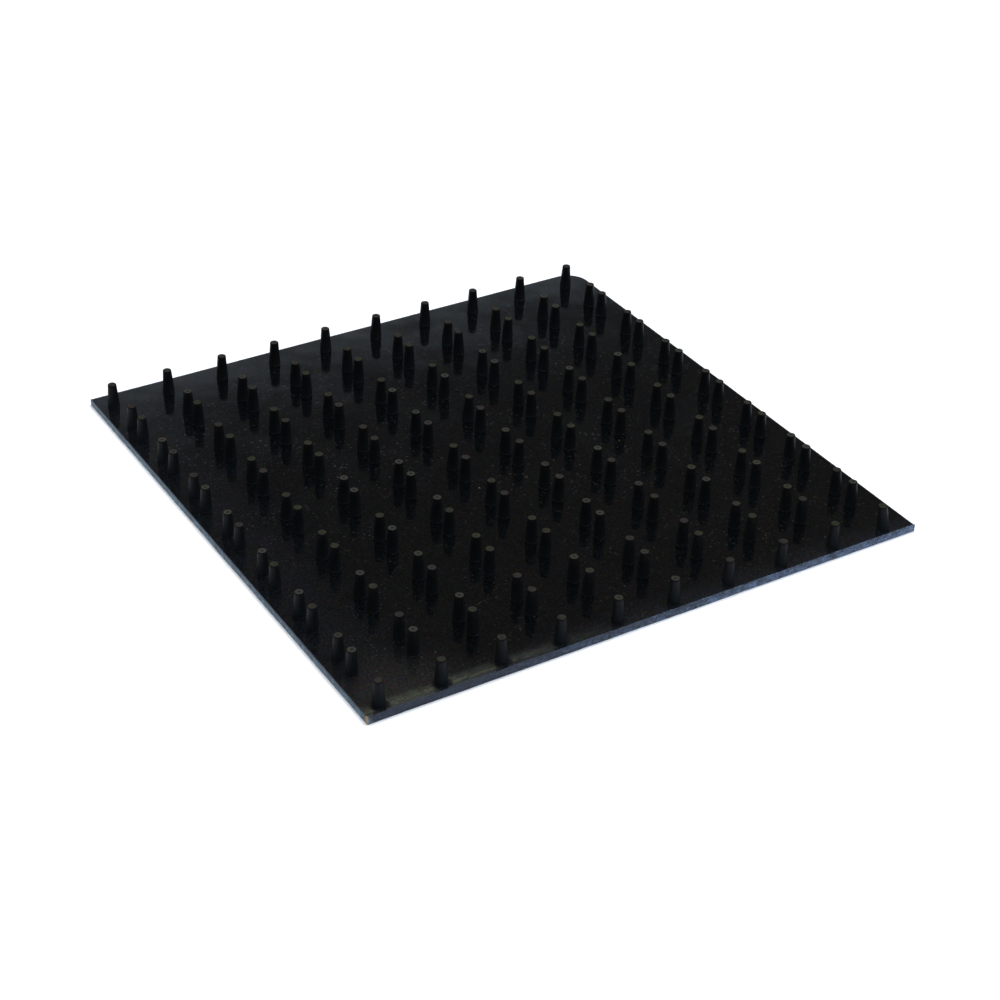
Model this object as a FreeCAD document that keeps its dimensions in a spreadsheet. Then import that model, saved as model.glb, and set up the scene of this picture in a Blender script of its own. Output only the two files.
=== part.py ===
"""Black rubber pin mat: a thin sheet carrying upright tapered pins in paired rows.

Millimetres, +Z up. The origin is the centre of the underside, which lies flat on the ground.
+X runs along a row of pins and -Y points to the cut front edge.
"""
import FreeCAD, Part
import math
import os

import Sketcher

# Driving dimensions. Everything else is worked out from them in the sheet or by expressions.
DRIVING_SIZES = {
    "column_pitch": 15.0,       # from pin to pin along a row
    "close_gap": 6.0,           # between the two rows of a pair
    "wide_gap": 12.0,           # between one pair of rows and the next
    "column_count": 10.0,
    "row_count": 16.0,
    "left_margin": 4.3,         # from the left cut edge to the first column, at the front
    "left_cut_skew": 0.55,      # how far the left cut runs in on its way to the back
    "right_margin": 7.8,        # from the last column to the moulded right edge, at the front
    "right_side_skew": 0.4,     # how far the right edge runs in on its way to the back
    "back_margin": 6.1,         # from the first row to the moulded back edge
    "front_margin": 2.9,        # from the last row to the front cut edge, at the left
    "front_cut_skew": 0.35,     # how far the front cut runs in on its way to the right
    "sheet_thickness": 1.85,
    "moulded_corner_radius": 6.0,
    "moulded_edge_radius": 0.3,
    "pin_height": 6.3,
    "pin_base_diameter": 3.0,
    "pin_tip_diameter": 2.1,    # across the flat tip and its bevelled rim
    "pin_rim_bevel": 0.15,
}

# Sizes that follow from the driving ones, as sheet formulas.
DERIVED_SIZES = {
    "wide_gap_count": "=ceil((row_count - 1) / 2)",
    "close_gap_count": "=floor((row_count - 1) / 2)",
    "row_length": "=(column_count - 1) * column_pitch",
    "rows_depth": "=wide_gap_count * wide_gap + close_gap_count * close_gap",
    "sheet_width": "=left_margin + row_length + right_margin",
    "sheet_depth": "=back_margin + rows_depth + front_margin",
    "first_column_x": "=left_margin - sheet_width / 2",
    "first_row_y": "=sheet_depth / 2 - back_margin",
}

# Edges are found by where their middle points lie, to within this distance.
FINDING_TOLERANCE = 0.01

document = FreeCAD.newDocument("RubberPinMat")
sizes = document.addObject("Spreadsheet::Sheet", "Sizes")


def fill_sizes():
    """Write each size beside its name, under an alias that expressions use."""
    line = 1
    for table in (DRIVING_SIZES, DERIVED_SIZES):
        for name, value in table.items():
            sizes.set(f"A{line}", name)
            sizes.set(f"B{line}", str(value))
            sizes.setAlias(f"B{line}", name)
            line += 1
    document.recompute()


def size(name):
    """Current value of a named size."""
    return float(sizes.get(name))


def origin_plane(body, role):
    """One of the body's own origin planes or axes, found by its role."""
    return next(item for item in body.Origin.OriginFeatures if item.Role == role)


def new_sketch(body, name, plane_role):
    """An empty sketch lying flat on one of the body's origin planes."""
    sketch = body.newObject("Sketcher::SketchObject", name)
    sketch.AttachmentSupport = [(origin_plane(body, plane_role), "")]
    sketch.MapMode = "FlatFace"
    return sketch


def constrain(sketch, kind, *where, expression=None):
    """Add one constraint, bound to a size when an expression is given."""
    index = sketch.addConstraint(Sketcher.Constraint(kind, *where))
    if expression:
        sketch.setExpression(f"Constraints[{index}]", expression)


def draw_closed_outline(sketch, corners):
    """Straight lines from corner to corner and back to the first, joined end to end."""
    lines = [
        sketch.addGeometry(Part.LineSegment(corner, corners[(i + 1) % len(corners)]), False)
        for i, corner in enumerate(corners)
    ]
    for i, line in enumerate(lines):
        constrain(sketch, "Coincident", line, 2, lines[(i + 1) % len(lines)], 1)
    return lines


def draw_sheet_outline(sketch):
    """Four sides centred on the origin: the back one square to the rows, the others askew."""
    half_width = size("sheet_width") / 2
    half_depth = size("sheet_depth") / 2
    corners = [
        FreeCAD.Vector(-half_width, -half_depth, 0),
        FreeCAD.Vector(half_width, size("front_cut_skew") - half_depth, 0),
        FreeCAD.Vector(half_width - size("right_side_skew"), half_depth, 0),
        FreeCAD.Vector(size("left_cut_skew") - half_width, half_depth, 0),
    ]
    front, right, back, left = draw_closed_outline(sketch, corners)
    constrain(sketch, "Horizontal", back)
    constrain(sketch, "DistanceX", front, 1, -1, 1, half_width,
              expression="Sizes.sheet_width / 2")
    constrain(sketch, "DistanceY", front, 1, -1, 1, half_depth,
              expression="Sizes.sheet_depth / 2")
    constrain(sketch, "DistanceX", front, 1, front, 2, size("sheet_width"),
              expression="Sizes.sheet_width")
    constrain(sketch, "DistanceY", front, 1, back, 1, size("sheet_depth"),
              expression="Sizes.sheet_depth")
    constrain(sketch, "DistanceY", front, 1, front, 2, size("front_cut_skew"),
              expression="Sizes.front_cut_skew")
    constrain(sketch, "DistanceX", left, 2, left, 1, size("left_cut_skew"),
              expression="Sizes.left_cut_skew")
    constrain(sketch, "DistanceX", right, 2, right, 1, size("right_side_skew"),
              expression="Sizes.right_side_skew")


def edges_where(shape, test):
    """Names of the edges whose middle point passes the test."""
    names = []
    for number, edge in enumerate(shape.Edges, start=1):
        middle = edge.valueAt((edge.FirstParameter + edge.LastParameter) / 2)
        if test(middle):
            names.append(f"Edge{number}")
    return names


def make_base_sheet():
    """The mat's sheet: cut on the left and front, moulded edges on the back and right."""
    body = document.addObject("PartDesign::Body", "base_sheet")
    body.Label = "base_sheet"
    outline = new_sketch(body, "SheetOutline", "XY_Plane")
    draw_sheet_outline(outline)
    slab = body.newObject("PartDesign::Pad", "SheetSlab")
    slab.Profile = outline
    slab.setExpression("Length", "Sizes.sheet_thickness")
    document.recompute()

    right_side = size("sheet_width") / 2 - size("right_side_skew") - FINDING_TOLERANCE
    back_side = size("sheet_depth") / 2 - FINDING_TOLERANCE
    top_side = size("sheet_thickness") - FINDING_TOLERANCE

    def on_moulded_corner(point):
        return point.x > right_side and point.y > back_side

    corner = body.newObject("PartDesign::Fillet", "MouldedCorner")
    corner.Base = (slab, edges_where(slab.Shape, on_moulded_corner))
    corner.setExpression("Radius", "Sizes.moulded_corner_radius")
    document.recompute()

    # The middle of the corner's arc stands this far in from both moulded sides.
    arc_inset = size("moulded_corner_radius") * (1 - math.cos(math.radians(45)))

    def on_moulded_top_edge(point):
        beside_right = point.x > right_side - arc_inset
        beside_back = point.y > back_side - arc_inset
        return point.z > top_side and (beside_right or beside_back)

    rounded = body.newObject("PartDesign::Fillet", "MouldedTopEdge")
    rounded.Base = (corner, edges_where(corner.Shape, on_moulded_top_edge))
    rounded.setExpression("Radius", "Sizes.moulded_edge_radius")
    body.Tip = rounded
    return body


def draw_pin_profile(sketch):
    """Half of a pin's lengthwise section: base, tapered flank, bevelled rim, flat tip and axis."""
    base_radius = size("pin_base_diameter") / 2
    tip_radius = size("pin_tip_diameter") / 2
    bevel = size("pin_rim_bevel")
    height = size("pin_height")
    outline = [
        FreeCAD.Vector(0, 0, 0),
        FreeCAD.Vector(base_radius, 0, 0),
        FreeCAD.Vector(tip_radius, height - bevel, 0),
        FreeCAD.Vector(tip_radius - bevel, height, 0),
        FreeCAD.Vector(0, height, 0),
    ]
    base, flank, rim, tip, axis = draw_closed_outline(sketch, outline)
    constrain(sketch, "Coincident", base, 1, -1, 1)
    constrain(sketch, "Horizontal", base)
    constrain(sketch, "Horizontal", tip)
    constrain(sketch, "Vertical", axis)
    constrain(sketch, "DistanceX", base, 1, base, 2, base_radius,
              expression="Sizes.pin_base_diameter / 2")
    constrain(sketch, "DistanceY", axis, 2, axis, 1, height, expression="Sizes.pin_height")
    constrain(sketch, "DistanceX", axis, 2, flank, 2, tip_radius,
              expression="Sizes.pin_tip_diameter / 2")
    constrain(sketch, "DistanceX", rim, 2, rim, 1, bevel, expression="Sizes.pin_rim_bevel")
    constrain(sketch, "DistanceY", rim, 1, rim, 2, bevel, expression="Sizes.pin_rim_bevel")


def make_pin_row(row):
    """One row of pins, counted from the back, standing on the sheet's top face."""
    name = f"pin_row_{row + 1:02d}"
    body = document.addObject("PartDesign::Body", name)
    body.Label = name
    body.AllowCompound = True
    profile = new_sketch(body, f"PinProfile{row + 1:02d}", "XZ_Plane")
    draw_pin_profile(profile)
    pin = body.newObject("PartDesign::Revolution", f"Pin{row + 1:02d}")
    pin.Profile = profile
    pin.ReferenceAxis = (profile, ["V_Axis"])
    pin.Angle = 360
    document.recompute()

    columns = body.newObject("PartDesign::LinearPattern", f"Columns{row + 1:02d}")
    columns.Originals = [pin]
    columns.Direction = (origin_plane(body, "X_Axis"), [""])
    columns.setExpression("Length", "Sizes.row_length")
    columns.setExpression("Occurrences", "Sizes.column_count")
    body.Tip = columns

    wide_gaps_behind = (row + 1) // 2
    close_gaps_behind = row // 2
    body.setExpression("Placement.Base.x", "Sizes.first_column_x")
    body.setExpression(
        "Placement.Base.y",
        f"Sizes.first_row_y - {wide_gaps_behind} * Sizes.wide_gap"
        f" - {close_gaps_behind} * Sizes.close_gap")
    body.setExpression("Placement.Base.z", "Sizes.sheet_thickness")
    return body


def check_and_export(bodies):
    """Stop on any failed object or bad shape, then write one STEP file per sub-part."""
    document.recompute()
    for item in document.Objects:
        failed = {"Invalid", "Error"} & set(item.State)
        if failed:
            raise RuntimeError(f"{item.Label} is {failed}")
    os.makedirs("parts", exist_ok=True)
    for body in bodies:
        if body.Shape.isNull() or not body.Shape.isValid():
            raise RuntimeError(f"{body.Label} has a bad shape")
        body.Shape.exportStep(f"parts/{body.Label}.step")
        box = body.Shape.BoundBox
        print(f"{body.Label}: {len(body.Shape.Solids)} solid(s), {body.Shape.Volume:.2f} mm3, "
              f"x {box.XMin:.2f}..{box.XMax:.2f}, y {box.YMin:.2f}..{box.YMax:.2f}, "
              f"z {box.ZMin:.2f}..{box.ZMax:.2f}")


fill_sizes()
parts = [make_base_sheet()]
parts += [make_pin_row(row) for row in range(int(size("row_count")))]
check_and_export(parts)
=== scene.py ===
"""Looks of the black rubber pin mat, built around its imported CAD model. Metres, +Z up."""
import math
import random

import bpy
from mathutils import Matrix, Vector, noise


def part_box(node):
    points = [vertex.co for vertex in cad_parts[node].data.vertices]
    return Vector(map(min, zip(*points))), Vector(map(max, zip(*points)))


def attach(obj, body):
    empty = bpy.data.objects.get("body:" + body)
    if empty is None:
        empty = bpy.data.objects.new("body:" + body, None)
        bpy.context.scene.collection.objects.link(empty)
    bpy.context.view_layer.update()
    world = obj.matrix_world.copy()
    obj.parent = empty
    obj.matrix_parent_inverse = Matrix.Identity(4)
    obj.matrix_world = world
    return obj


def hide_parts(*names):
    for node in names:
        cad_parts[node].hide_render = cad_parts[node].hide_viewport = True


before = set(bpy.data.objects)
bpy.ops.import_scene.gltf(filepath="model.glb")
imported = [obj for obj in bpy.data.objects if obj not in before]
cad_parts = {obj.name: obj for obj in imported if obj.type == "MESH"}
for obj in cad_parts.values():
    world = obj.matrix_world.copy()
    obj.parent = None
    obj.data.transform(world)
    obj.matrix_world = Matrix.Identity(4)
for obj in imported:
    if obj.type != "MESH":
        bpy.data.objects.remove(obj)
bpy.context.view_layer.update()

MM = 0.001

# Camera: it looks at a point on the ground a little in front of the mat's middle.
CAMERA_AIM = Vector((-5.34 * MM, -14.43 * MM, 0.15 * MM))
CAMERA_DISTANCE = 541 * MM
CAMERA_AZIMUTH = math.radians(-32.38)
CAMERA_ELEVATION = math.radians(33.21)
CAMERA_ROLL = math.radians(1.84)
CAMERA_LENS_MM = 81.47
SENSOR_MM = 36.0

# Studio backdrop, up from the ground: elevation in degrees, brightness, warmth
BACKDROP = (
    (0, 0.85, -0.10),
    (22, 0.70, -0.15),
    (31.1, 0.64, -0.16),
    (32.0, 0.48, -0.15),
    (32.5, 0.105, -0.04),
    (33.6, 0.060, 0.08),
    (36, 0.046, 0.14),
    (40, 0.052, 0.17),
    (45, 0.060, 0.17),
    (90, 0.060, 0.17),
)
FRONT_DIMMING = 0.10            # the room in front is this much of the backdrop
# The backdrop fades into the room in front while a direction's Y goes from this to minus this.
FRONT_SPREAD = 0.4

# Soft round lights aimed at the mat
LIGHT_DISTANCE = 1.4            # metres
LIGHT_WIDTH = 0.9               # metres
# Each light's name, azimuth clockwise from +Y and elevation in degrees, watts and colour
LIGHTS = (
    ("top_light", 20, 72, 15.0, (1.0, 1.0, 1.0)),
    ("left_light", -70, 62, 3.0, (1.0, 1.0, 1.0)),
    ("right_light", 110, 62, 12.5, (0.92, 0.97, 1.08)),
    ("front_light", 205, 58, 5.5, (1.0, 1.0, 1.0)),
)
FLOOR_REACH = 4.0               # metres each way from the origin
FLOOR_DROP = 0.02 * MM          # keeps the floor clear of the mat's underside

# Sheet
GRID_STEP = 0.8 * MM            # spacing of the sheet's mesh away from its edges
CUT_EDGE_RADIUS = 0.10 * MM     # where a blade went through
MOULDED_EDGE_RADIUS = 0.45 * MM
UNDERSIDE_EDGE_RADIUS = 0.06 * MM
UNDULATION_HEIGHT = 0.03 * MM   # the sheet's top isn't quite flat
UNDULATION_LENGTH = 24 * MM
RIPPLE_HEIGHT = 0.006 * MM
RIPPLE_LENGTH = 5 * MM
CURL_WIDTH = 2.8 * MM           # the front cut left a slight upward curl, most at its left end
CURL_HEIGHT = 0.16 * MM
CURL_REACH = 85 * MM            # how far along the front edge it takes to fade
CURL_REMAINDER = 0.75           # share of the curl that is left from there on
CUT_WAVER = 0.07 * MM           # sideways wander of the blade
CUT_WAVER_LENGTH = 9 * MM
CUT_TEAR = 0.035 * MM           # short-scale roughness of a cut face
CUT_TEAR_LENGTH = 0.9 * MM

# Pins
PINS_PER_ROW = 10
LAST_ROW = "pin_row_16"         # the row nearest the front cut
PIN_SEGMENTS = 32
ROOT_FLARE = 0.07 * MM          # radius of the fillet round each pin's root
ROOT_SINK = 0.10 * MM           # how far the flare's edge goes below the sheet's top
TIP_RIM_RADIUS = 0.18 * MM
WORN_TURN = 30                  # the rim is dusty like the tip up to this slope, in degrees
DIMPLE_RADIUS = 0.42 * MM
DIMPLE_DEPTH = 0.18 * MM        # of the deepest; many tips are nearly flat
TIP_WEAR = 0.035 * MM           # unevenness of a tip's outline
LEAN_SPREAD = 0.09 * MM         # typical sideways shift of a pin's tip
BENT_PIN_LEAN = Vector((-0.55 * MM, 0.35 * MM))     # the pin in the front right corner
FLANK_SWELL = 0.02 * MM         # the taper is very slightly barrelled
CHANCE_SEED = 16                # for the pins' leans, hollows and tones

# The painted glow and the scuffs with their painted sheen stop short of the front row's pins, so
# the pins' reflections show.
CLEAR_SHIFT = 0.6 * MM          # the clear place's middle is this far in front of the pin's
CLEAR_START = 0.2 * MM          # none of the painted glow or sheen lies this close to the root
CLEAR_END = 1.2 * MM            # beyond this they lie as everywhere


def make_camera():
    """The scene's camera, at the reference viewing angle."""
    back = Vector((
        math.sin(CAMERA_AZIMUTH) * math.cos(CAMERA_ELEVATION),
        -math.cos(CAMERA_AZIMUTH) * math.cos(CAMERA_ELEVATION),
        math.sin(CAMERA_ELEVATION),
    ))
    level_right = Vector((math.cos(CAMERA_AZIMUTH), math.sin(CAMERA_AZIMUTH), 0.0))
    level_up = back.cross(level_right)
    right = math.cos(CAMERA_ROLL) * level_right + math.sin(CAMERA_ROLL) * level_up
    up = back.cross(right)
    data = bpy.data.cameras.new("camera")
    data.lens = CAMERA_LENS_MM
    data.sensor_width = SENSOR_MM
    data.clip_start = 0.01
    data.clip_end = 20.0
    camera = bpy.data.objects.new("camera", data)
    rotation = Matrix((right, up, back)).transposed().to_4x4()
    camera.matrix_world = Matrix.Translation(CAMERA_AIM + CAMERA_DISTANCE * back) @ rotation
    bpy.context.scene.collection.objects.link(camera)
    bpy.context.scene.camera = camera


def new_object(name, mesh, *materials):
    """Put a mesh in the scene as an object with these materials."""
    for material in materials:
        mesh.materials.append(material)
    thing = bpy.data.objects.new(name, mesh)
    bpy.context.scene.collection.objects.link(thing)
    return thing


def smooth(mesh, crease_degrees):
    """Smooth shading with sharp creases above an angle."""
    mesh.polygons.foreach_set("use_smooth", [True] * len(mesh.polygons))
    mesh.set_sharp_from_angle(angle=math.radians(crease_degrees))
    mesh.update()


# ---------------------------------------------------------------- materials


class Nodes:
    """A short way to add and join the shader nodes of one material."""

    def __init__(self, name):
        self.material = bpy.data.materials.new(name)
        self.material.use_nodes = True
        self.tree = self.material.node_tree
        self.shader = self.tree.nodes["Principled BSDF"]
        self.place = self.add("TexCoord").outputs["Object"]

    def put(self, socket, value):
        """Join a socket to another node's output, or set its value."""
        if isinstance(value, bpy.types.NodeSocket):
            self.tree.links.new(value, socket)
        else:
            socket.default_value = value

    def add(self, kind, inputs=(), **settings):
        node = self.tree.nodes.new("ShaderNode" + kind)
        for key, value in settings.items():
            setattr(node, key, value)
        for key, value in dict(inputs).items():
            self.put(node.inputs[key], value)
        return node

    def maths(self, operation, first, second=0.0, clamp=False):
        node = self.add("Math", operation=operation, use_clamp=clamp)
        self.put(node.inputs[0], first)
        self.put(node.inputs[1], second)
        return node.outputs[0]

    def spread(self, value, low, high, to_low=0.0, to_high=1.0):
        """Map a value's range from low..high to another, clamped, with soft ends."""
        node = self.add("MapRange", interpolation_type="SMOOTHSTEP")
        for key, number in (("Value", value), ("From Min", low), ("From Max", high),
                            ("To Min", to_low), ("To Max", to_high)):
            self.put(node.inputs[key], number)
        return node.outputs["Result"]

    def noise(self, size, detail=3.0, roughness=0.5, distortion=0.0):
        """Cloudy noise whose features are about this many metres across."""
        node = self.add("TexNoise", {
            "Vector": self.place, "Scale": 1 / size, "Detail": detail,
            "Roughness": roughness, "Distortion": distortion})
        return node.outputs["Fac"]

    def streaks(self, size, length):
        """Noise of this fineness, drawn out along X to about this length."""
        squeeze = self.add("VectorMath", operation="MULTIPLY")
        self.put(squeeze.inputs[0], self.place)
        self.put(squeeze.inputs[1], (size / length, 1.0, 1.0))
        node = self.add("TexNoise", {
            "Vector": squeeze.outputs["Vector"], "Scale": 1 / size,
            "Detail": 3.0, "Roughness": 0.6})
        return node.outputs["Fac"]

    def tinge(self, size):
        """A random tint round white, different every few tenths of a millimetre."""
        node = self.add("TexNoise", {
            "Vector": self.place, "Scale": 1 / size, "Detail": 3.0, "Roughness": 0.6})
        double = self.add("VectorMath", operation="MULTIPLY_ADD")
        self.put(double.inputs[0], node.outputs["Color"])
        self.put(double.inputs[1], (5.0, 5.0, 5.0))
        self.put(double.inputs[2], (-1.5, -1.5, -1.5))
        return double.outputs["Vector"]

    def times(self, colour, factor):
        """A colour times another colour or tint."""
        node = self.add("Mix", data_type="RGBA", blend_type="MULTIPLY")
        self.put(node.inputs["Factor"], 1.0)
        self.put(node.inputs["A"], colour)
        self.put(node.inputs["B"], factor)
        return node.outputs["Result"]

    def arcs(self, size, width):
        """Thin curling lines, each a short piece of a contour of cloudy noise."""
        level = self.maths("SUBTRACT", self.noise(size, detail=1), 0.5)
        line = self.spread(self.maths("ABSOLUTE", level), 0.0, width, 1.0, 0.0)
        piece = self.spread(self.noise(1.3 * size, detail=0), 0.56, 0.66)
        return self.maths("MULTIPLY", line, piece)

    def mix(self, factor, first, second):
        node = self.add("Mix", data_type="RGBA", clamp_factor=True)
        self.put(node.inputs["Factor"], factor)
        self.put(node.inputs["A"], first)
        self.put(node.inputs["B"], second)
        return node.outputs["Result"]

    def ramp(self, factor, *stops):
        """Colour ramp from (position, colour) stops."""
        node = self.add("ValToRGB", {"Fac": factor})
        elements = node.color_ramp.elements
        while len(elements) < len(stops):
            elements.new(1.0)
        for element, (position, colour) in zip(elements, stops):
            element.position = position
            element.color = colour
        return node.outputs["Color"]

    def bump(self, height, distance, strength=1.0, under=None):
        node = self.add("Bump", {"Height": height, "Distance": distance, "Strength": strength})
        if under is not None:
            self.put(node.inputs["Normal"], under)
        return node.outputs["Normal"]

    def finish(self, **inputs):
        for key, value in inputs.items():
            self.put(self.shader.inputs[key.replace("_", " ")], value)
        return self.material


def grey(value, warmth=0.0):
    """A linear grey, pushed towards brown by a positive warmth and towards blue by a negative."""
    return (value * (1 + warmth), value, value * (1 - warmth), 1.0)


SPECK_COLOURS = (
    (0.0, (0.50, 0.48, 0.46, 1.0)),
    (0.3, (0.52, 0.44, 0.27, 1.0)),
    (0.5, (0.36, 0.46, 0.30, 1.0)),
    (0.7, (0.52, 0.36, 0.31, 1.0)),
    (0.85, (0.46, 0.37, 0.47, 1.0)),
    (1.0, (0.34, 0.42, 0.54, 1.0)),
)


def specks(nodes, cell, radius, share):
    """Scattered ragged dust specks: where they lie, from 0 to 1, and their colour.

    There is at most one speck in each cell, in this share of the cells, up to this radius."""
    stir = nodes.add("TexNoise", {"Vector": nodes.place, "Scale": 1.5 / radius, "Detail": 2.0})
    stirred = nodes.add("VectorMath", operation="MULTIPLY_ADD")
    nodes.put(stirred.inputs[0], stir.outputs["Color"])
    nodes.put(stirred.inputs[1], (1.6 * radius, 1.6 * radius, 1.6 * radius))
    nodes.put(stirred.inputs[2], nodes.place)
    cells = nodes.add("TexVoronoi", {"Vector": stirred.outputs["Vector"], "Scale": 1 / cell,
                                     "Randomness": 1.0}, voronoi_dimensions="3D")
    draw = nodes.add("SeparateColor", {"Color": cells.outputs["Color"]})
    chance = nodes.spread(draw.outputs["Red"], 1 - share, 1.0)
    reach = nodes.maths("MULTIPLY", chance, radius / cell)
    inside = nodes.maths("SUBTRACT", reach, cells.outputs["Distance"])
    colour = nodes.ramp(draw.outputs["Green"], *SPECK_COLOURS)
    return nodes.spread(inside, 0.0, 0.60 * radius / cell), colour


def add_specks(nodes, colour, roughness, *sizes):
    """Lay layers of specks over a colour and a roughness: (cell, radius, share, paleness) each."""
    crowd = nodes.spread(nodes.noise(22 * MM, detail=2), 0.35, 0.65, 0.25, 1.0)
    for cell, radius, share, paleness in sizes:
        where, speck_colour = specks(nodes, cell, radius, share)
        where = nodes.maths("MULTIPLY", where, crowd)
        colour = nodes.mix(where, colour, nodes.mix(paleness, grey(0.0), speck_colour))
        roughness = nodes.maths("ADD", roughness, nodes.maths("MULTIPLY", where, 0.15), clamp=True)
    return colour, roughness


def clear_of_pins(nodes):
    """How clear a place is of the front row's pins: 0 at their roots and 1 away from them."""
    base_radius, first_x, y, pitch = row_layout(LAST_ROW)
    split = nodes.add("SeparateXYZ", {"Vector": nodes.place})
    from_first = nodes.maths("SUBTRACT", split.outputs["X"], first_x)
    across = nodes.maths("PINGPONG", from_first, pitch / 2)
    along = nodes.maths("SUBTRACT", split.outputs["Y"], y - CLEAR_SHIFT)
    square = nodes.maths("ADD", nodes.maths("MULTIPLY", across, across),
                         nodes.maths("MULTIPLY", along, along))
    distance = nodes.maths("SQRT", square)
    return nodes.spread(distance, base_radius + CLEAR_START, base_radius + CLEAR_END)


def corner_scuffs_and_sheen(nodes, outline):
    """Where scuffs with a painted sheen lie along the front edge near its left end, from 0 to 1."""
    split = nodes.add("SeparateXYZ", {"Vector": nodes.place})
    x, y = split.outputs["X"], split.outputs["Y"]
    corner = outline.front_left
    along = nodes.spread(x, corner.x + 8 * MM, corner.x + 70 * MM, 1.0, 0.0)
    rise = nodes.spread(y, corner.y + 0.2 * MM, corner.y + 1.6 * MM)
    fall = nodes.spread(y, corner.y + 1.6 * MM, corner.y + 4.6 * MM, 1.0, 0.0)
    band = nodes.maths("MULTIPLY", nodes.maths("MULTIPLY", rise, fall), clear_of_pins(nodes))
    lines = nodes.spread(nodes.streaks(0.7 * MM, 2.5 * MM), 0.35, 0.68, 0.35, 1.0)
    grit = nodes.spread(nodes.noise(0.6 * MM, detail=3, roughness=0.7), 0.35, 0.65, 0.55, 1.0)
    lines = nodes.maths("MULTIPLY", lines, grit)
    return nodes.maths("MULTIPLY", nodes.maths("MULTIPLY", band, along), lines)


def corner_painted_glow(nodes, outline):
    """A painted glow that grows towards the front left corner, from 0 to 1."""
    away = nodes.add("VectorMath", operation="DISTANCE")
    nodes.put(away.inputs[0], nodes.place)
    nodes.put(away.inputs[1], (outline.front_left.x + 8 * MM, outline.front_left.y, outline.high.z))
    near_corner = nodes.spread(away.outputs["Value"], 2 * MM, 26 * MM, 1.0, 0.0)
    return nodes.maths("MULTIPLY", near_corner, clear_of_pins(nodes))


def edge_painted_glow(nodes, outline):
    """A painted pale bluish glow beside the two cut edges, from 0 to 1."""
    split = nodes.add("SeparateXYZ", {"Vector": nodes.place})
    front, left = outline.front_left.y, outline.front_left.x
    front_painted_light = nodes.spread(split.outputs["Y"], front, front + 8 * MM, 0.9, 0.0)
    left_painted_light = nodes.spread(split.outputs["X"], left + 4 * MM, left + 24 * MM, 0.45, 0.0)
    return nodes.maths("MAXIMUM", front_painted_light, left_painted_light)


def sheet_rubber(outline):
    """The sheet's smooth moulded top: glossy, nearly black, and lightly dusted."""
    nodes = Nodes("sheet_rubber")
    film = nodes.spread(nodes.noise(18 * MM, detail=5, roughness=0.6, distortion=0.4), 0.35, 0.75)
    grain = nodes.noise(0.5 * MM, detail=4, roughness=0.6)
    dust = nodes.spread(nodes.noise(0.8 * MM, detail=4, roughness=0.7), 0.45, 0.72)
    colour = nodes.mix(dust, (0.0012, 0.0018, 0.0022, 1.0), (0.0026, 0.0027, 0.0031, 1.0))
    # Painted glow: paler and bluer beside the two cut edges.
    colour = nodes.mix(edge_painted_glow(nodes, outline), colour, (0.0056, 0.0064, 0.0082, 1.0))
    colour = nodes.times(colour, nodes.tinge(0.40 * MM))
    colour = nodes.times(colour, nodes.spread(grain, 0.25, 0.75, 0.40, 1.60))
    mottling = nodes.mix(0.18, (1.0, 0.98, 1.0, 1.0), nodes.tinge(0.40 * MM))
    clouds = nodes.mix(0.15, (1.0, 0.97, 0.93, 1.0), nodes.tinge(3.0 * MM))
    mottling = nodes.times(mottling, clouds)
    mottling = nodes.times(mottling, nodes.spread(grain, 0.25, 0.75, 0.85, 1.15))
    # Painted glow: a pale patch round the front left corner.
    corner_glow_colour = nodes.times((0.0105, 0.0105, 0.0105, 1.0), nodes.tinge(0.5 * MM))
    colour = nodes.mix(corner_painted_glow(nodes, outline), colour, corner_glow_colour)
    # Scuffs with a painted greenish sheen along the front edge near its left end.
    colour = nodes.mix(corner_scuffs_and_sheen(nodes, outline), colour, (0.062, 0.068, 0.050, 1.0))
    hairs = nodes.maths("MULTIPLY", nodes.arcs(6 * MM, 0.010), dust)
    colour = nodes.mix(hairs, colour, grey(0.020, 0.10))
    roughness = nodes.spread(film, 0.0, 1.0, 0.07, 0.11)
    colour, roughness = add_specks(
        nodes, colour, roughness,
        (0.90 * MM, 0.42 * MM, 0.60, 0.018), (1.6 * MM, 0.36 * MM, 0.40, 0.035),
        (4.0 * MM, 0.30 * MM, 0.22, 0.28))
    normal = nodes.bump(grain, 0.0015 * MM)
    return nodes.finish(
        Base_Color=colour, Roughness=roughness, Normal=normal, Specular_Tint=mottling)


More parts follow.
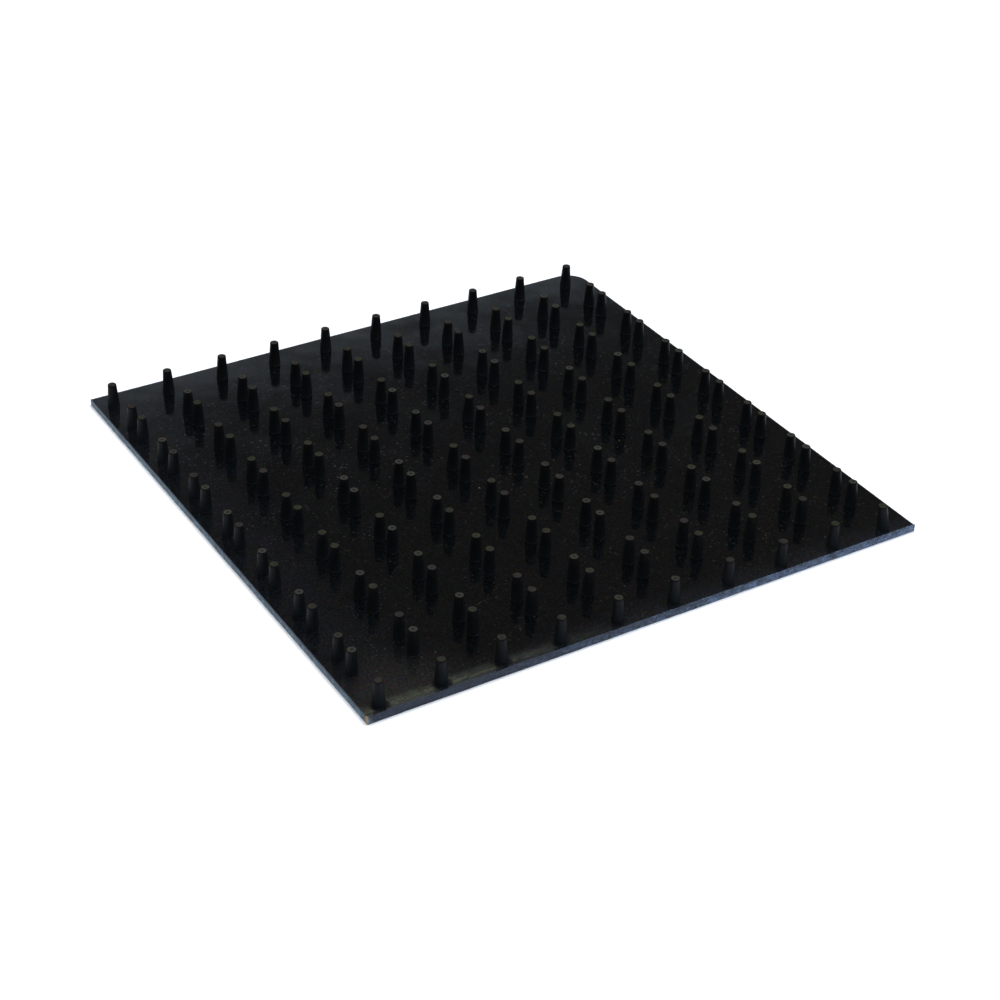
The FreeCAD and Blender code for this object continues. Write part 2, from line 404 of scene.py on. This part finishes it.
def pin_rubber(foot, tip):
    """The side of a pin: matt black and more polished near the tip, with painted light paling it
    towards the foot, and browner and a little paler near the tip.
    """
    nodes = Nodes("pin_rubber")
    grain = nodes.noise(0.35 * MM, detail=4, roughness=0.65)
    dust = nodes.spread(nodes.noise(1.2 * MM, detail=4, roughness=0.7), 0.55, 0.85)
    z = nodes.add("SeparateXYZ", {"Vector": nodes.place}).outputs["Z"]
    colour = nodes.mix(dust, (0.0056, 0.0070, 0.0078, 1.0), (0.0085, 0.0100, 0.0110, 1.0))
    # Painted light: paler towards the foot, lifting the shade that falls low between the pins.
    painted_foot_light = nodes.spread(z, foot, foot + 5 * MM, 0.60, 0.0)
    colour = nodes.mix(painted_foot_light, colour, (0.0125, 0.0155, 0.0180, 1.0))
    # Browner and a little paler towards the tip.
    browner_near_tip = nodes.spread(z, tip - 3 * MM, tip - 0.4 * MM, 0.0, 0.35)
    colour = nodes.mix(browner_near_tip, colour, (0.0115, 0.0095, 0.0090, 1.0))
    colour, roughness = add_specks(nodes, colour, 0.45, (1.6 * MM, 0.14 * MM, 0.20, 0.06))
    normal = nodes.bump(grain, 0.010 * MM)
    flank = nodes.spread(z, foot + 1 * MM, tip - 0.3 * MM, 0.01, 0.08)
    below_rim = nodes.spread(z, tip - 0.45 * MM, tip - 0.15 * MM, 1.0, 0.0)
    glints = nodes.spread(nodes.noise(0.9 * MM, detail=1), 0.58, 0.68, 0.0, 0.14)
    root = nodes.spread(z, foot + 0.08 * MM, foot + 0.20 * MM, 1.0, 0.0)
    sheen = nodes.maths("ADD", nodes.maths("MULTIPLY", flank, below_rim),
                        nodes.maths("MULTIPLY", glints, root))
    return nodes.finish(
        Base_Color=colour, Roughness=roughness, Normal=normal, Specular_IOR_Level=sheen,
        Specular_Tint=(0.94, 0.93, 1.12, 1.0))


def edge_fleck(nodes, outline):
    """Where a fleck of tan dust clings to the upright edge at the front left, from 0 to 1."""
    away = nodes.add("VectorMath", operation="DISTANCE")
    flat = nodes.add("VectorMath", {0: nodes.place, 1: (1.0, 1.0, 0.0)}, operation="MULTIPLY")
    nodes.put(away.inputs[0], flat.outputs["Vector"])
    nodes.put(away.inputs[1], (outline.front_left.x, outline.front_left.y + 0.25 * MM, 0.0))
    return nodes.spread(away.outputs["Value"], 0.25 * MM, 0.50 * MM, 0.8, 0.0)


def cut_rubber(outline):
    """The grainy face that a blade leaves in black rubber."""
    nodes = Nodes("cut_rubber")
    grain = nodes.noise(0.30 * MM, detail=5, roughness=0.7)
    tear = nodes.noise(1.1 * MM, detail=3, roughness=0.6)
    pale = nodes.spread(nodes.maths("ADD", grain, nodes.maths("MULTIPLY", tear, 0.5)), 0.62, 1.02)
    split = nodes.add("SeparateXYZ", {"Vector": nodes.place})
    x, z = split.outputs["X"], split.outputs["Z"]
    low, high = outline.low, outline.high
    on_left = nodes.spread(x, outline.back_left.x, outline.back_left.x + 1 * MM, 1.0, 0.0)
    # Painted light on the cut faces: the front face is paler to the right, as if lit from there,
    # and both faces are paler towards the bottom, where the floor lights them.
    front_painted_light = nodes.spread(x, low.x + 10 * MM, high.x + 15 * MM, 0.34, 3.2)
    front_chalk_and_light = nodes.maths(
        "MULTIPLY", front_painted_light, nodes.spread(z, low.z, high.z, 1.05, 0.45))
    left_chalk_and_light = nodes.maths("MULTIPLY", on_left, nodes.spread(z, low.z, high.z, 2.9, 0.1))
    patches = nodes.spread(nodes.noise(4 * MM, detail=2), 0.35, 0.60, 0.72, 1.12)
    chalk_and_light = nodes.maths("MULTIPLY", nodes.maths("ADD", front_chalk_and_light, left_chalk_and_light), patches)
    pale_colour = nodes.mix(on_left, (0.110, 0.180, 0.310, 1.0), (0.100, 0.205, 0.300, 1.0))
    chalky_and_lit = nodes.maths("MULTIPLY", pale, chalk_and_light)
    colour = nodes.mix(chalky_and_lit, (0.006, 0.011, 0.025, 1.0), pale_colour)
    colour = nodes.mix(edge_fleck(nodes, outline), colour, (0.36, 0.21, 0.06, 1.0))
    roughness = nodes.spread(grain, 0.3, 0.7, 0.30, 0.50)
    colour, roughness = add_specks(nodes, colour, roughness, (1.5 * MM, 0.16 * MM, 0.30, 0.40))
    normal = nodes.bump(grain, 0.030 * MM)
    normal = nodes.bump(tear, 0.050 * MM, under=normal)
    return nodes.finish(
        Base_Color=colour, Roughness=roughness, Normal=normal, Specular_IOR_Level=0.25)


def underside_rubber():
    """Matte black rubber with a fine press texture."""
    nodes = Nodes("underside_rubber")
    grain = nodes.noise(0.8 * MM, detail=4, roughness=0.6)
    smear = nodes.spread(nodes.noise(20 * MM, detail=4, roughness=0.6), 0.4, 0.75)
    colour = nodes.mix(smear, grey(0.010, 0.05), grey(0.022, 0.15))
    normal = nodes.bump(grain, 0.02 * MM)
    return nodes.finish(Base_Color=colour, Roughness=0.55, Normal=normal)


def tip_rubber():
    """The dusty matt end of a pin, with painted shade in its hollow and a painted highlight round a
    deep one.

    Its tone differs from pin to pin."""
    nodes = Nodes("tip_rubber")
    tone = nodes.add("Attribute", attribute_name="pin_tone").outputs["Fac"]
    grain = nodes.noise(0.22 * MM, detail=4, roughness=0.65)
    blotch = nodes.noise(0.9 * MM, detail=2)
    hue = nodes.maths("ADD", nodes.maths("MULTIPLY", tone, 0.6),
                      nodes.maths("MULTIPLY", blotch, 0.4))
    khaki = nodes.ramp(hue, (0.2, (0.0120, 0.0162, 0.0062, 1.0)),
                       (0.4, (0.0172, 0.0148, 0.0050, 1.0)),
                       (0.6, (0.0148, 0.0126, 0.0074, 1.0)),
                       (0.85, (0.0172, 0.0115, 0.0095, 1.0)))
    worn = nodes.spread(nodes.maths("ADD", nodes.maths("MULTIPLY", grain, 0.6),
                                    nodes.maths("MULTIPLY", blotch, 0.4)), 0.34, 0.62)
    colour = nodes.mix(worn, grey(0.004, 0.15), khaki)
    hollow = nodes.add("Attribute", attribute_name="pin_hollow").outputs["Fac"]
    # Painted highlight: the tip is paler round a deep hollow.
    painted_lip_highlight = nodes.spread(hollow, -1.0, -0.25, 0.55, 0.0)
    colour = nodes.mix(painted_lip_highlight, colour, (0.026, 0.027, 0.023, 1.0))
    # Painted shade: darker inside the hollow.
    colour = nodes.mix(nodes.spread(hollow, 0.10, 0.70, 0.0, 0.9), colour, grey(0.002, 0.15))
    normal = nodes.bump(grain, 0.025 * MM)
    return nodes.finish(
        Base_Color=colour, Roughness=0.7, Normal=normal, Specular_IOR_Level=0.10)


# ---------------------------------------------------------------- the sheet


def cad_points(node):
    """The corners of a CAD node's mesh, at rest."""
    return [vertex.co.copy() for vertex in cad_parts[node].data.vertices]


def furthest(points, x, y):
    """The point that lies furthest in a direction across the mat."""
    return max(points, key=lambda point: point.x * x + point.y * y)


class Outline:
    """The sheet's four sides, with one rounded corner, read from the CAD sheet."""

    def __init__(self):
        points = cad_points("base_sheet")
        self.low, self.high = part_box("base_sheet")
        self.front_left = furthest(points, -1, -1).xy
        self.front_right = furthest(points, 1, -1).xy
        self.back_left = furthest(points, -1, 1).xy
        bend = furthest(points, 1, 0.02).xy     # where the right side meets the rounded corner
        self.corner_radius = self.high.y - bend.y
        along_right = (bend - self.front_right).normalized()
        self.back_right = bend + self.corner_radius * along_right

    def point(self, u, v, cut_inset, moulded_inset):
        """A place on the sheet, u to the right and v to the back, both from 0 to 1.

        The cut sides move in by one inset and the moulded sides by the other."""
        front_left = self.front_left + Vector((cut_inset, cut_inset))
        front_right = self.front_right + Vector((-moulded_inset, cut_inset))
        back_left = self.back_left + Vector((cut_inset, -moulded_inset))
        back_right = self.back_right - Vector((moulded_inset, moulded_inset))
        place = front_left.lerp(front_right, u).lerp(back_left.lerp(back_right, u), v)
        radius = self.corner_radius - moulded_inset
        centre = back_right - Vector((radius, radius))
        across = (place - centre) / radius
        if across.x > 0 and across.y > 0:
            place = centre + radius * across * max(across) / across.length
        return place


def graded_steps(length, step, edge_steps):
    """Places from 0 to 1 along a length: close together near both ends, even between."""
    start = [distance / length for distance in edge_steps]
    gap = 1 - 2 * start[-1]
    count = max(1, round(gap * length / step))
    middle = [start[-1] + gap * i / count for i in range(1, count)]
    return start + middle + [1 - place for place in reversed(start)]


def wave(x, y, z, length, seed):
    """Smooth noise from -1 to 1, with hills about this long."""
    return noise.noise(Vector((x, y, z)) / length + Vector((seed, 7.3 * seed, 3.1 * seed)))


def curl(x, y, outline):
    """How far the top rises towards the front cut, most near its left end."""
    along = min(1.0, (x - outline.front_left.x) / CURL_REACH)
    height = CURL_HEIGHT * (1 - (1 - CURL_REMAINDER) * along ** 1.5)
    from_front = y - outline.front_left.y
    return height * max(0.0, 1 - from_front / CURL_WIDTH) ** 2


def top_height(x, y, outline):
    """Height of the sheet's top face."""
    swell = UNDULATION_HEIGHT * wave(x, y, 0.0, UNDULATION_LENGTH, 1.0)
    ripple = RIPPLE_HEIGHT * wave(x, y, 0.0, RIPPLE_LENGTH, 2.0)
    return outline.high.z + swell + ripple + curl(x, y, outline)


def rim_loop(us, vs):
    """Grid indices round the edge of the sheet, anticlockwise from the front left."""
    last_u, last_v = len(us) - 1, len(vs) - 1
    front = [(i, 0) for i in range(last_u)]
    right = [(last_u, j) for j in range(last_v)]
    back = [(i, last_v) for i in range(last_u, 0, -1)]
    left = [(0, j) for j in range(last_v, 0, -1)]
    return front + right + back + left


def side_profile():
    """Steps down the sheet's side: (inset on cut sides, inset on moulded sides, height share).

    The height share is 1 at the top face and 0 at the underside, less the edge radii."""
    steps = []
    for turn in (22.5, 45.0, 67.5, 90.0):
        inset = 1 - math.sin(math.radians(turn))
        drop = 1 - math.cos(math.radians(turn))
        steps.append((CUT_EDGE_RADIUS * inset, MOULDED_EDGE_RADIUS * inset, "top", drop))
    for share in (0.8, 0.6, 0.4, 0.2):
        steps.append((0.0, 0.0, "side", share))
    steps.append((0.0, 0.0, "bottom", 1.0))
    steps.append((UNDERSIDE_EDGE_RADIUS, UNDERSIDE_EDGE_RADIUS, "bottom", 0.0))
    return steps


def on_cut_side(index):
    """Whether a rim point lies on the front or left side."""
    return index[0] == 0 or index[1] == 0


def side_height(kind, share, index, top):
    """Height of a side step under a rim point whose top face is at this height."""
    radius = CUT_EDGE_RADIUS if on_cut_side(index) else MOULDED_EDGE_RADIUS
    if kind == "top":
        return top - radius * share
    if kind == "side":
        lower = UNDERSIDE_EDGE_RADIUS
        return lower + (top - radius - lower) * share
    return UNDERSIDE_EDGE_RADIUS * share


def cut_roughness(place, z):
    """How far a point of a cut face stands in or out from the straight cut."""
    waver = CUT_WAVER * wave(place.x, place.y, 0.0, CUT_WAVER_LENGTH, 4.0)
    tear = CUT_TEAR * wave(place.x, place.y, z, CUT_TEAR_LENGTH, 5.0)
    return waver + tear


def build_sheet(outline):
    """The sheet as one closed mesh: top, sides and underside."""
    width = outline.high.x - outline.low.x
    depth = outline.high.y - outline.low.y
    edge_steps = [0.0, 0.12 * MM, 0.3 * MM, 0.6 * MM, 1.0 * MM, 1.6 * MM]
    us = graded_steps(width, GRID_STEP, edge_steps)
    vs = graded_steps(depth, GRID_STEP, edge_steps)
    columns, rows = len(us), len(vs)
    vertices, faces, slots = [], [], []
    TOP, CUT, UNDER = 0, 1, 2

    for v in vs:
        for u in us:
            place = outline.point(u, v, CUT_EDGE_RADIUS, MOULDED_EDGE_RADIUS)
            vertices.append((place.x, place.y, top_height(place.x, place.y, outline)))
    for j in range(rows - 1):
        for i in range(columns - 1):
            corner = j * columns + i
            faces.append((corner, corner + 1, corner + columns + 1, corner + columns))
            slots.append(TOP)

    rim = rim_loop(us, vs)
    ring = [j * columns + i for i, j in rim]
    rim_tops = [vertices[index][2] for index in ring]
    for cut_inset, moulded_inset, kind, share in side_profile():
        next_ring = []
        for (i, j), top in zip(rim, rim_tops):
            place = outline.point(us[i], vs[j], cut_inset, moulded_inset)
            z = side_height(kind, share, (i, j), top)
            if on_cut_side((i, j)) and kind != "top":
                push = cut_roughness(place, z)
                place = place + Vector((push if i == 0 else 0.0, push if j == 0 else 0.0))
            next_ring.append(len(vertices))
            vertices.append((place.x, place.y, z))
        for k in range(len(ring)):
            after = (k + 1) % len(ring)
            faces.append((ring[k], next_ring[k], next_ring[after], ring[after]))
            cut = on_cut_side(rim[k]) and on_cut_side(rim[after])
            slots.append(CUT if cut else TOP)
        ring = next_ring

    under = dict(zip(rim, ring))
    for j in range(rows):
        for i in range(columns):
            if (i, j) not in under:
                place = outline.point(us[i], vs[j], UNDERSIDE_EDGE_RADIUS, UNDERSIDE_EDGE_RADIUS)
                under[(i, j)] = len(vertices)
                vertices.append((place.x, place.y, 0.0))
    for j in range(rows - 1):
        for i in range(columns - 1):
            faces.append((under[i, j], under[i, j + 1], under[i + 1, j + 1], under[i + 1, j]))
            slots.append(UNDER)

    mesh = bpy.data.meshes.new("moulded_sheet")
    mesh.from_pydata(vertices, [], faces)
    mesh.polygons.foreach_set("material_index", slots)
    smooth(mesh, crease_degrees=50)
    return mesh


# ---------------------------------------------------------------- the pins


def row_layout(node):
    """Base radius of a row's pins, the X of its first pin, the row's Y and the pitch."""
    low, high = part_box(node)
    base_radius = (high.y - low.y) / 2
    pitch = (high.x - low.x - 2 * base_radius) / (PINS_PER_ROW - 1)
    return base_radius, low.x + base_radius, (low.y + high.y) / 2, pitch


def pin_heights(node):
    """Radius of the flat tips of a row's pins, and the heights of their feet and tips."""
    low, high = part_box(node)
    tolerance = 0.01 * MM
    tips = [point.y for point in cad_points(node) if point.z > high.z - tolerance]
    return (max(tips) - min(tips)) / 2, low.z, high.z


def pin_profile(base_radius, flat_radius, foot, tip, dimple):
    """A pin's outline as (radius, height, slot) from the middle of its tip to under its root."""
    SIDE, TIP = 0, 1
    profile = []
    for share in (0.0, 0.25, 0.5, 0.75, 1.0):
        sag = 0.5 + 0.5 * math.cos(math.pi * share)
        profile.append((DIMPLE_RADIUS * share, tip - dimple * sag, TIP))
    profile.append((flat_radius - TIP_RIM_RADIUS / 2, tip, TIP))
    tip_radius = flat_radius + TIP_RIM_RADIUS
    for turn in (0, 22.5, 45, 67.5, 90):
        angle = math.radians(turn)
        profile.append((
            flat_radius + TIP_RIM_RADIUS * math.sin(angle),
            tip - TIP_RIM_RADIUS * (1 - math.cos(angle)),
            TIP if turn < WORN_TURN else SIDE))
    flank_top = tip - TIP_RIM_RADIUS
    flank_foot = foot + ROOT_FLARE
    flank_steps = 9
    for step in range(1, flank_steps + 1):
        share = step / flank_steps
        radius = tip_radius + (base_radius - tip_radius) * share
        radius += FLANK_SWELL * math.sin(math.pi * share)
        profile.append((radius, flank_top + (flank_foot - flank_top) * share, SIDE))
    for turn in (22.5, 45, 67.5, 90):
        angle = math.radians(turn)
        profile.append((
            base_radius + ROOT_FLARE * (1 - math.cos(angle)),
            foot + ROOT_FLARE * (1 - math.sin(angle)),
            SIDE))
    profile.append((base_radius + ROOT_FLARE + 0.02 * MM, foot - ROOT_SINK, SIDE))
    return profile


def hollow_shares(profile, tip, dimple):
    """How deep each point of a pin's profile lies in the tip's hollow, from 0 to 1.

    Outside the hollow it is the depth of the whole hollow, with a minus sign."""
    shares = []
    for radius, z, _ in profile:
        depth = (tip - z if radius < DIMPLE_RADIUS else -dimple) / DIMPLE_DEPTH
        shares += [depth] * (PIN_SEGMENTS if shares else 1)
    return shares


def add_pin(vertices, faces, slots, centre, profile, lean):
    """Turn one pin about its upright axis, and lean it from the root upwards."""
    tip, foot = profile[0][1], profile[-1][1]
    first = len(vertices)
    vertices.append((centre.x + lean.x, centre.y + lean.y, tip))
    for radius, z, _ in profile[1:]:
        bend = (max(0.0, z - foot) / (tip - foot)) ** 1.3
        wear = TIP_WEAR * bend ** 6 * radius / profile[-1][0]
        for step in range(PIN_SEGMENTS):
            angle = 2 * math.pi * step / PIN_SEGMENTS
            out = Vector((math.cos(angle), math.sin(angle)))
            ragged = radius + wear * wave(*(centre + 0.9 * MM * out), 0.0, 0.7 * MM, 6.0)
            place = centre + bend * lean + ragged * out
            vertices.append((place.x, place.y, z))
    last_ring = len(vertices) - PIN_SEGMENTS
    faces.append([last_ring + step for step in reversed(range(PIN_SEGMENTS))])
    slots.append(profile[-1][2])
    for step in range(PIN_SEGMENTS):
        after = (step + 1) % PIN_SEGMENTS
        faces.append((first, first + 1 + step, first + 1 + after))
        slots.append(profile[1][2])
        for ring in range(len(profile) - 2):
            upper = first + 1 + ring * PIN_SEGMENTS
            lower = upper + PIN_SEGMENTS
            faces.append((upper + step, lower + step, lower + after, upper + after))
            slots.append(profile[ring + 2][2])


def build_pin_row(node, outline, chance):
    """All the pins of one row as one mesh, each a closed shell let into the sheet."""
    base_radius, first_x, y, pitch = row_layout(node)
    flat_radius, foot, tip = pin_heights(node)
    vertices, faces, slots, tones, hollows = [], [], [], [], []
    for column in range(PINS_PER_ROW):
        x = first_x + column * pitch
        lean = Vector((chance.gauss(0, LEAN_SPREAD), chance.gauss(0, LEAN_SPREAD)))
        if node == LAST_ROW and column == PINS_PER_ROW - 1:
            lean = BENT_PIN_LEAN
        dimple = DIMPLE_DEPTH * chance.random() ** 1.5
        shift = top_height(x, y, outline) - outline.high.z
        profile = pin_profile(base_radius, flat_radius, foot + shift, tip + shift, dimple)
        count = len(vertices)
        add_pin(vertices, faces, slots, Vector((x, y)), profile, lean)
        tones += [chance.random()] * (len(vertices) - count)
        hollows += hollow_shares(profile, tip + shift, dimple)
    mesh = bpy.data.meshes.new("pins_" + node)
    mesh.from_pydata(vertices, [], faces)
    mesh.polygons.foreach_set("material_index", slots)
    for name, values in (("pin_tone", tones), ("pin_hollow", hollows)):
        mesh.attributes.new(name, "FLOAT", "POINT").data.foreach_set("value", values)
    smooth(mesh, crease_degrees=60)
    return mesh


# ---------------------------------------------------------------- floor and light


def make_floor():
    """A plain pale floor."""
    mesh = bpy.data.meshes.new("floor")
    reach = FLOOR_REACH
    corners = [(-reach, -reach, 0), (reach, -reach, 0), (reach, reach, 0), (-reach, reach, 0)]
    mesh.from_pydata(corners, [], [(0, 1, 2, 3)])
    nodes = Nodes("floor_paper")
    floor = new_object("floor", mesh, nodes.finish(Base_Color=grey(0.82, -0.02), Roughness=0.9))
    floor.location.z = -FLOOR_DROP


def direction(azimuth, elevation):
    """The unit vector at an azimuth clockwise from +Y and an elevation, in degrees."""
    turn, rise = math.radians(azimuth), math.radians(elevation)
    level = math.cos(rise)
    return Vector((math.sin(turn) * level, math.cos(turn) * level, math.sin(rise)))


def make_surroundings():
    """A pale backdrop behind the mat and a dim room in front of it."""
    world = bpy.data.worlds.new("studio")
    bpy.context.scene.world = world
    world.use_nodes = True
    tree = world.node_tree

    def add(kind, **settings):
        node = tree.nodes.new("ShaderNode" + kind)
        for key, value in settings.items():
            setattr(node, key, value)
        return node

    place = add("TexCoord")
    level = add("VectorMath", operation="MULTIPLY")
    level.inputs[1].default_value = (0.0, 1.0, 1.0)
    unit = add("VectorMath", operation="NORMALIZE")
    parts = add("SeparateXYZ")
    ramp = add("ValToRGB")
    front = add("MapRange", interpolation_type="SMOOTHSTEP")
    dim = add("Mix", data_type="RGBA", blend_type="MULTIPLY")
    tree.links.new(place.outputs["Generated"], level.inputs[0])
    tree.links.new(level.outputs["Vector"], unit.inputs[0])
    tree.links.new(unit.outputs["Vector"], parts.inputs[0])
    tree.links.new(parts.outputs["Z"], ramp.inputs["Fac"])
    tree.links.new(parts.outputs["Y"], front.inputs["Value"])
    front.inputs["From Min"].default_value = FRONT_SPREAD
    front.inputs["From Max"].default_value = -FRONT_SPREAD
    tree.links.new(front.outputs["Result"], dim.inputs["Factor"])
    tree.links.new(ramp.outputs["Color"], dim.inputs["A"])
    dim.inputs["B"].default_value = grey(FRONT_DIMMING)
    tree.links.new(dim.outputs["Result"], tree.nodes["Background"].inputs["Color"])
    elements = ramp.color_ramp.elements
    while len(elements) < len(BACKDROP):
        elements.new(1.0)
    for element, (elevation, value, warmth) in zip(elements, BACKDROP):
        element.position = math.sin(math.radians(elevation))
        element.color = grey(value, warmth)


def make_lights():
    """The soft lights round the mat."""
    for name, azimuth, elevation, power, colour in LIGHTS:
        data = bpy.data.lights.new(name, "AREA")
        data.shape = "DISK"
        data.size = LIGHT_WIDTH
        data.energy = power
        data.color = colour
        light = bpy.data.objects.new(name, data)
        away = direction(azimuth, elevation)
        light.location = LIGHT_DISTANCE * away
        light.rotation_euler = away.to_track_quat("Z", "Y").to_euler()
        bpy.context.scene.collection.objects.link(light)


# ---------------------------------------------------------------- build

make_camera()
make_floor()
make_surroundings()
make_lights()
bpy.context.scene.view_settings.view_transform = "Standard"

outline = Outline()
pin_side = pin_rubber(outline.high.z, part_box("pin_row_01")[1].z)
pin_tip = tip_rubber()

sheet = new_object(
    "moulded_sheet", build_sheet(outline),
    sheet_rubber(outline), cut_rubber(outline), underside_rubber())
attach(sheet, "root")
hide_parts("base_sheet")

chance = random.Random(CHANCE_SEED)
for node in sorted(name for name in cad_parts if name.startswith("pin_row_")):
    row = new_object("pins_" + node[-2:], build_pin_row(node, outline, chance), pin_side, pin_tip)
    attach(row, "root")
    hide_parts(node)

bpy.context.view_layer.update()
